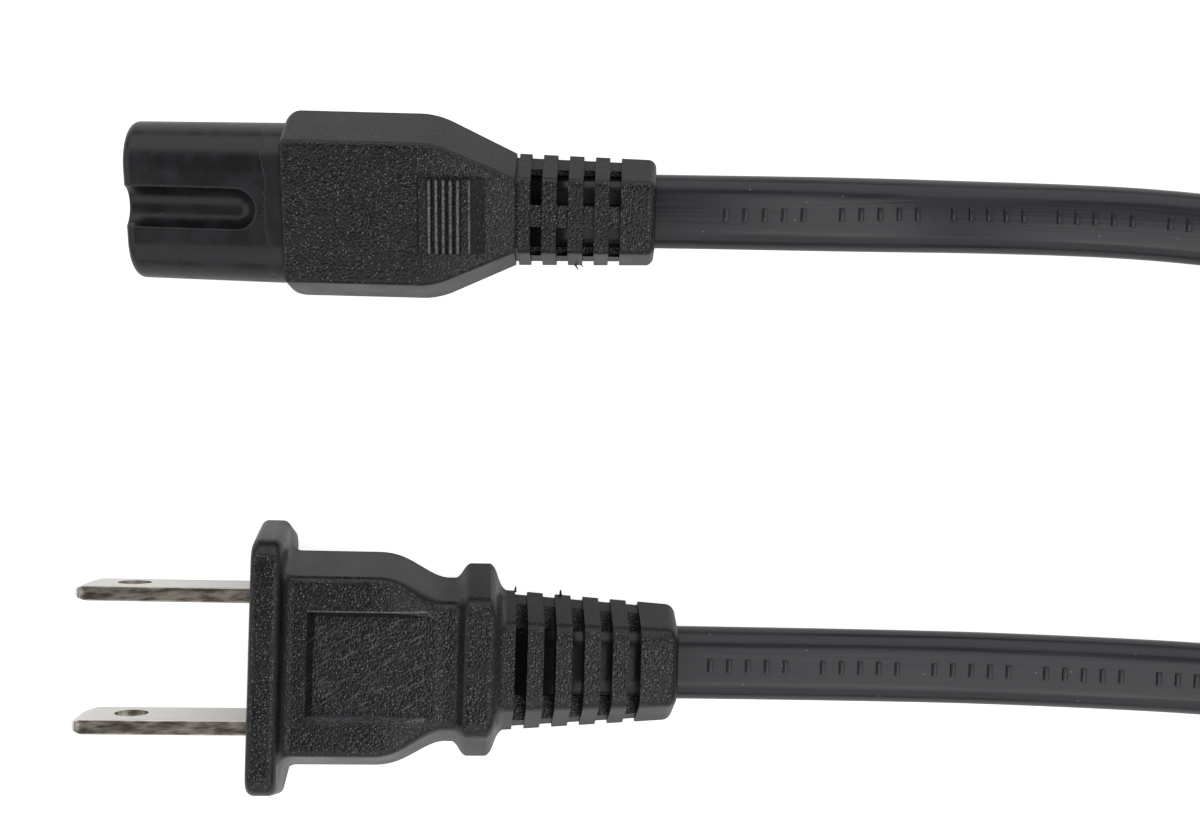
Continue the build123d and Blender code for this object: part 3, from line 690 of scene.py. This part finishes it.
def moulded_pvc(name, origin, top, dark, light, highlights_and_scuffs):
    """The finish of one end, with the colours of its clouds and the function that gives its painted
    highlights, and on the plug its scuffs.
    """
    material, shader = new_material(name, "#1a1b1d", 0.42)
    position = add_node(material, "TexCoord", output="Object")
    grained = grain_mask(material, top)
    offset = add_node(material, "VectorMath", [position, tuple(origin)], operation="SUBTRACT")
    from_plane = add_node(material, "VectorMath", [offset, tuple(top)], "Value", operation="DOT_PRODUCT")
    from_plane = add_node(material, "Math", [from_plane], operation="ABSOLUTE")
    seam = add_node(material, "MapRange", [from_plane, *SEAM, 1.0, 0.0], **SMOOTH)

    height = add_node(material, "Math", [pebble_height(material, position), grained], operation="MULTIPLY")
    height = add_node(material, "Math", [height, seam], operation="ADD")
    relief = add_node(material, "Bump", {"Height": height, "Distance": GRAIN_DEPTH * MM, "Strength": 1.0})
    link(material, relief, shader, "Normal")

    # Painted glints on the pebbles and each end's painted highlights, with the plug's scuffs, lighten the
    # colour.
    painted_light_and_scuffs = add_node(material, "Math", [painted_glints(material, position), grained], operation="MULTIPLY")
    painted_light_and_scuffs = add_node(material, "Math", [painted_light_and_scuffs, highlights_and_scuffs(material, offset)], operation="MAXIMUM")
    painted_light_and_scuffs = add_node(material, "Math", [painted_light_and_scuffs, HIGHLIGHT_AND_SCUFF_SHARE], operation="MULTIPLY")
    # Painted highlight along the seam.
    seam_highlight = add_node(material, "Math", [seam, SEAM_HIGHLIGHT_SHARE], operation="MULTIPLY")
    cloud = add_node(material, "TexNoise", {"Vector": position, "Scale": 1000 / CLOUD, "Detail": 3.0})
    clouds = {0: cloud, 6: hex_colour(dark), 7: hex_colour(light)}
    body = add_node(material, "Mix", clouds, 2, data_type="RGBA")
    body = add_node(material, "Mix", {0: painted_light_and_scuffs, 6: body, 7: HIGHLIGHT_AND_SCUFF_COLOUR}, 2, data_type="RGBA")
    body = add_node(material, "Mix", {0: seam_highlight, 6: body, 7: SEAM_HIGHLIGHT_COLOUR}, 2, data_type="RGBA")
    link(material, body, shader, "Base Color")

    rough = add_node(material, "MapRange", [cloud, *NOISE_RANGE, *PVC_ROUGHNESS], **SMOOTH)
    rough = add_node(material, "Math", [grained, LOWER_ON_GRAIN, rough], operation="MULTIPLY_ADD")
    link(material, rough, shader, "Roughness")
    return material


connector_pvc = moulded_pvc("moulded PVC, connector", CONNECTOR_EXIT, connector_top, "#101113", "#18191b",
                            ridge_highlights)
plug_pvc = moulded_pvc("moulded PVC, plug", PLUG_EXIT, plug_top, "#111214", "#1a1b1d", panel_highlights_and_scuffs)
assign(connector_pvc, nodes["connector_overmould"], plain_ring, relief_crumbs)
assign(plug_pvc, nodes["plug_overmould"], plug_crumbs)
print("nodes in each:", len(connector_pvc.node_tree.nodes), len(plug_pvc.node_tree.nodes))

# %% [markdown]
# ## The nose
# The nose is moulded first, from a harder PVC in a polished tool, so it has no grain. It shows faint
# clouds where the plastic flowed, a few pale specks of dust, and a thin skin of the later moulding
# where it crept over the root of the nose. The skin's edge is a position along the nose that noise
# moves to and fro, because a straight limit would look cut.

# %% Smooth nose
FLOW_CLOUD = 2.2
DUST_ON_NOSE = 1.4
DUST_GRAIN = (0.03, 0.075)
SKIN_WAVE = 1.6
SKIN_WANDERS = 1.8 * MM
SKIN_EDGE = (-9.55 * MM, -9.35 * MM)
SKIN_DEPTH = 0.03
NOSE_ROUGHNESS = (0.26, 0.36)

nose_pvc, shader = new_material("hard PVC, polished tool", "#1c1d1f", 0.4)
position = add_node(nose_pvc, "TexCoord", output="Object")
cloud = add_node(nose_pvc, "TexNoise", {"Vector": position, "Scale": 1000 / FLOW_CLOUD, "Detail": 4.0})
dust = add_node(nose_pvc, "TexVoronoi", {"Vector": position, "Scale": 1000 / DUST_ON_NOSE})
dust = add_node(nose_pvc, "MapRange", [dust, *DUST_GRAIN, 1.0, 0.0], **SMOOTH)
wave = add_node(nose_pvc, "TexNoise", {"Vector": position, "Scale": 1000 / SKIN_WAVE, "Detail": 3.0})
along = add_node(nose_pvc, "VectorMath", [position, (1, 0, 0)], "Value", operation="DOT_PRODUCT")
edge = add_node(nose_pvc, "Math", [wave, SKIN_WANDERS, along], operation="MULTIPLY_ADD")
skin = add_node(nose_pvc, "MapRange", [edge, *SKIN_EDGE], **SMOOTH)

flow = add_node(nose_pvc, "MapRange", [cloud, 0.35, 0.7], **SMOOTH)
flow_colours = {0: flow, 6: hex_colour("#18191b"), 7: hex_colour("#242529")}
body = add_node(nose_pvc, "Mix", flow_colours, 2, data_type="RGBA")
dusty = add_node(nose_pvc, "Math", [dust, 0.5], operation="MULTIPLY")
body = add_node(nose_pvc, "Mix", {0: dusty, 6: body, 7: hex_colour("#5c5d60")}, 2, data_type="RGBA")
skinned = add_node(nose_pvc, "Math", [skin, 0.5], operation="MULTIPLY")
body = add_node(nose_pvc, "Mix", {0: skinned, 6: body, 7: hex_colour("#2b2c2f")}, 2, data_type="RGBA")
link(nose_pvc, body, shader, "Base Color")
rough = add_node(nose_pvc, "MapRange", [cloud, *NOISE_RANGE, *NOSE_ROUGHNESS], **SMOOTH)
link(nose_pvc, rough, shader, "Roughness")

height = add_node(nose_pvc, "Math", [cloud, 0.25], operation="MULTIPLY")
height = add_node(nose_pvc, "Math", [height, skin], operation="ADD")
relief = add_node(nose_pvc, "Bump", {"Height": height, "Distance": SKIN_DEPTH * MM, "Strength": 1.0})
link(nose_pvc, relief, shader, "Normal")
assign(nose_pvc, nodes["contact_block"])
print("nodes in the nose's finish:", len(nose_pvc.node_tree.nodes))

# %% [markdown]
# ## The jacket of the lead
# The jacket is soft PVC, drawn through a die, so it carries fine lines along its length and shines a
# little more than the moulded ends. It is a shade lighter and bluer than they are. The lines have to
# follow every bend, so their noise reads the lead's own map and not the object's coordinates. The
# map is pressed together lengthways, which draws the noise out into lines.

# %% Drawn jacket
LINE = 0.35
LINE_STRETCH = 0.02
LINE_DEPTH = 0.012
DUST_ON_LEAD = 2.0
DUST_REACH = (0.025, 0.06)
JACKET_ROUGHNESS = (0.2, 0.3)

jacket_pvc, shader = new_material("soft PVC, drawn jacket", "#37383c", 0.34)
along_map = add_node(jacket_pvc, "UVMap", uv_map="along the lead")
drawn_out = (LINE_STRETCH, 1.0, 1.0)
drawn = add_node(jacket_pvc, "VectorMath", [along_map, drawn_out], operation="MULTIPLY")
lines = add_node(jacket_pvc, "TexNoise", {"Vector": drawn, "Scale": 1000 / LINE, "Detail": 3.0})
relief = add_node(jacket_pvc, "Bump", {"Height": lines, "Distance": LINE_DEPTH * MM, "Strength": 1.0})
link(jacket_pvc, relief, shader, "Normal")

position = add_node(jacket_pvc, "TexCoord", output="Object")
dust = add_node(jacket_pvc, "TexVoronoi", {"Vector": position, "Scale": 1000 / DUST_ON_LEAD})
dust = add_node(jacket_pvc, "MapRange", [dust, *DUST_REACH, 1.0, 0.0], **SMOOTH)
dusty = add_node(jacket_pvc, "Math", [dust, 0.6], operation="MULTIPLY")
line_colours = {0: lines, 6: hex_colour("#212226"), 7: hex_colour("#2e2f34")}
body = add_node(jacket_pvc, "Mix", line_colours, 2, data_type="RGBA")
body = add_node(jacket_pvc, "Mix", {0: dusty, 6: body, 7: hex_colour("#8c8d90")}, 2, data_type="RGBA")
link(jacket_pvc, body, shader, "Base Color")
rough = add_node(jacket_pvc, "MapRange", [lines, *NOISE_RANGE, *JACKET_ROUGHNESS], **SMOOTH)
link(jacket_pvc, rough, shader, "Roughness")
assign(jacket_pvc, flat_lead, raised_bars)
print("nodes in the jacket's finish:", len(jacket_pvc.node_tree.nodes))

# %% [markdown]
# ## The plated blades
# The blades are stamped from brass strip and plated with nickel. Their broad faces are smooth. The
# narrow edges, which face the camera, were sheared by the press, so they are rougher and stained
# brown. One material does both: a mask by the way a face looks tells the edges from the broad faces.

# %% Nickel on brass
STAIN = 0.55
TORN = 0.25
ALONG_EDGE = 0.3
TORN_DEPTH = 0.05
SHEARED_FACES = (0.8, 0.95)

nickel, shader = new_material("nickel-plated brass", "#cfcac0", 0.24)
shader.inputs["Metallic"].default_value = 1.0
normal = add_node(nickel, "TexCoord", output="Normal")
facing = add_node(nickel, "VectorMath", [normal, tuple(plug_top)], "Value", operation="DOT_PRODUCT")
facing = add_node(nickel, "Math", [facing], operation="ABSOLUTE")
sheared = add_node(nickel, "MapRange", [facing, *SHEARED_FACES], **SMOOTH)
position = add_node(nickel, "TexCoord", output="Object")
long_way = add_node(nickel, "VectorMath", [position, (ALONG_EDGE, 1.0, 1.0)], operation="MULTIPLY")
stain = add_node(nickel, "TexNoise", {"Vector": long_way, "Scale": 1000 / STAIN, "Detail": 5.0})
stain = add_node(nickel, "MapRange", [stain, 0.32, 0.68], **SMOOTH)
torn = add_node(nickel, "TexNoise", {"Vector": long_way, "Scale": 1000 / TORN, "Detail": 2.0})

stain_colours = {0: stain, 6: hex_colour("#6e655b"), 7: hex_colour("#c6bdb1")}
edge_colour = add_node(nickel, "Mix", stain_colours, 2, data_type="RGBA")
face_and_edge = {0: sheared, 6: hex_colour("#efede7"), 7: edge_colour}
link(nickel, add_node(nickel, "Mix", face_and_edge, 2, data_type="RGBA"), shader, "Base Color")
rough = add_node(nickel, "Math", [sheared, 0.16, 0.2], operation="MULTIPLY_ADD")
link(nickel, rough, shader, "Roughness")
torn = add_node(nickel, "Math", [torn, sheared], operation="MULTIPLY")
relief = add_node(nickel, "Bump", {"Height": torn, "Distance": TORN_DEPTH * MM, "Strength": 1.0})
link(nickel, relief, shader, "Normal")
assign(nickel, nodes["upper_blade"], nodes["lower_blade"])
print("nodes in the nickel:", len(nickel.node_tree.nodes))

# %% [markdown]
# ## Brass and copper inside
# The contacts in the nose are springs of plain rolled brass, and the strands of the cores are bare
# copper. They are hardly seen, so a plain metal with a typical roughness is enough.

# %% Brass and copper
brass, shader = new_material("spring brass", "#cdb070", 0.28)
shader.inputs["Metallic"].default_value = 1.0
assign(brass, nodes["upper_contact"], nodes["lower_contact"])

copper, shader = new_material("copper strands", "#d49a78", 0.4)
shader.inputs["Metallic"].default_value = 1.0
assign(copper, *[piece for name, piece in nodes.items() if name.endswith("_wire")])
print("metals inside:", brass.name, "and", copper.name)

# %% [markdown]
# ## Plain plastics
# The bridge between the blades is a hard moulded plastic, the cores' insulation is smooth drawn PVC
# and the strap round the coil is vinyl. All three are near-black and differ a little in shade and
# gloss, so no pattern is needed.

# %% Plain plastics
hard_plastic, shader = new_material("hard black plastic", "#222225", 0.45)
assign(hard_plastic, nodes["blade_bridge"])
insulation, shader = new_material("core insulation", "#2a2a2d", 0.35)
assign(insulation, *[piece for name, piece in nodes.items() if name.endswith("_core")])
strap, shader = new_material("vinyl strap", "#1f2022", 0.4)
assign(strap, nodes["coil_tie"])
print("plastics:", hard_plastic.name, "and", insulation.name, "and", strap.name)

# %% [markdown]
# ## The table
# The object lies on white paper. The paper glows a little for the camera, so it reads as pure white,
# and a little less for what the shiny sides mirror. It still takes the object's shadow and gives the
# object no extra light. Stronger lamps could whiten the paper too, but they would bleach the object.

# %% White table
TABLE_HALF_SIDE = 3.0
UNDER_OBJECT = 0.1 * MM
GLOW_SEEN = 0.75
GLOW_MIRRORED = 0.18

floor_mesh = bpy.data.meshes.new("table")
bm = bmesh.new()
bmesh.ops.create_grid(bm, x_segments=1, y_segments=1, size=TABLE_HALF_SIDE)
bm.to_mesh(floor_mesh)
bm.free()
table = bpy.data.objects.new("table", floor_mesh)
table.location = (0, 0, -UNDER_OBJECT)
bpy.context.scene.collection.objects.link(table)

white_paper, shader = new_material("white paper", "#f4f4f4", 0.9)
seen = add_node(white_paper, "LightPath", output="Is Camera Ray")
ray = seen.node.outputs
mirrored = [ray["Is Glossy Ray"], ray["Is Transmission Ray"]]
mirrored = add_node(white_paper, "Math", mirrored, operation="MAXIMUM")
mirrored = add_node(white_paper, "Math", [mirrored, GLOW_MIRRORED], operation="MULTIPLY")
glow = add_node(white_paper, "Math", [seen, GLOW_SEEN, mirrored], operation="MULTIPLY_ADD")
shader.inputs["Emission Color"].default_value = (1, 1, 1, 1)
link(white_paper, glow, shader, "Emission Strength")
assign(white_paper, table)
print("table, metres wide:", 2 * TABLE_HALF_SIDE)

# %% [markdown]
# ## The lights
# The photograph shows dark tops and light flanks on both ends, so nothing bright hangs over them.
# Large soft boxes stand round the object: an area light is large and even, where a small lamp would
# leave hard bright spots on satin plastic. The flat side of the lead is light from some way behind
# the strain reliefs, with a clear limit, so one more box hangs level over the right of the picture.
# The room above gives only a weak fill.

# %% Lights
ROOM_FILL = 0.15
AIM = Vector((0.03, 0.0, 0.0))

world = bpy.data.worlds.new("studio")
world.use_nodes = True
bpy.context.scene.world = world
background = world.node_tree.nodes["Background"]
background.inputs["Color"].default_value = (1, 1, 1, 1)
background.inputs["Strength"].default_value = ROOM_FILL


def soft_box(name, place, size, watts, level=False):
    """A large even light that looks at the object, or straight down."""
    light = bpy.data.lights.new(name, "AREA")
    light.shape = "RECTANGLE"
    light.size, light.size_y = size
    light.energy = watts
    holder = bpy.data.objects.new(name, light)
    holder.location = place
    if not level:
        holder.rotation_euler = (AIM - Vector(place)).to_track_quat("-Z", "Y").to_euler()
    bpy.context.scene.collection.objects.link(holder)


soft_box("soft box behind", (0.03, 0.55, 0.4), (1.1, 0.6), 2.0)
soft_box("soft box in front", (0.03, -0.55, 0.4), (1.1, 0.6), 1.5)
soft_box("soft box left", (-0.52, 0.0, 0.38), (0.8, 0.5), 0.9)
soft_box("soft box right", (0.58, 0.0, 0.38), (0.8, 0.5), 0.5)
soft_box("soft box above the lead", (0.295, -0.2, 0.58), (0.31, 0.6), 0.85, level=True)

# %% [markdown]
# ## Finish
# The view is set to show colours as they are written.

# %% Finish
bpy.context.scene.view_settings.view_transform = "Standard"
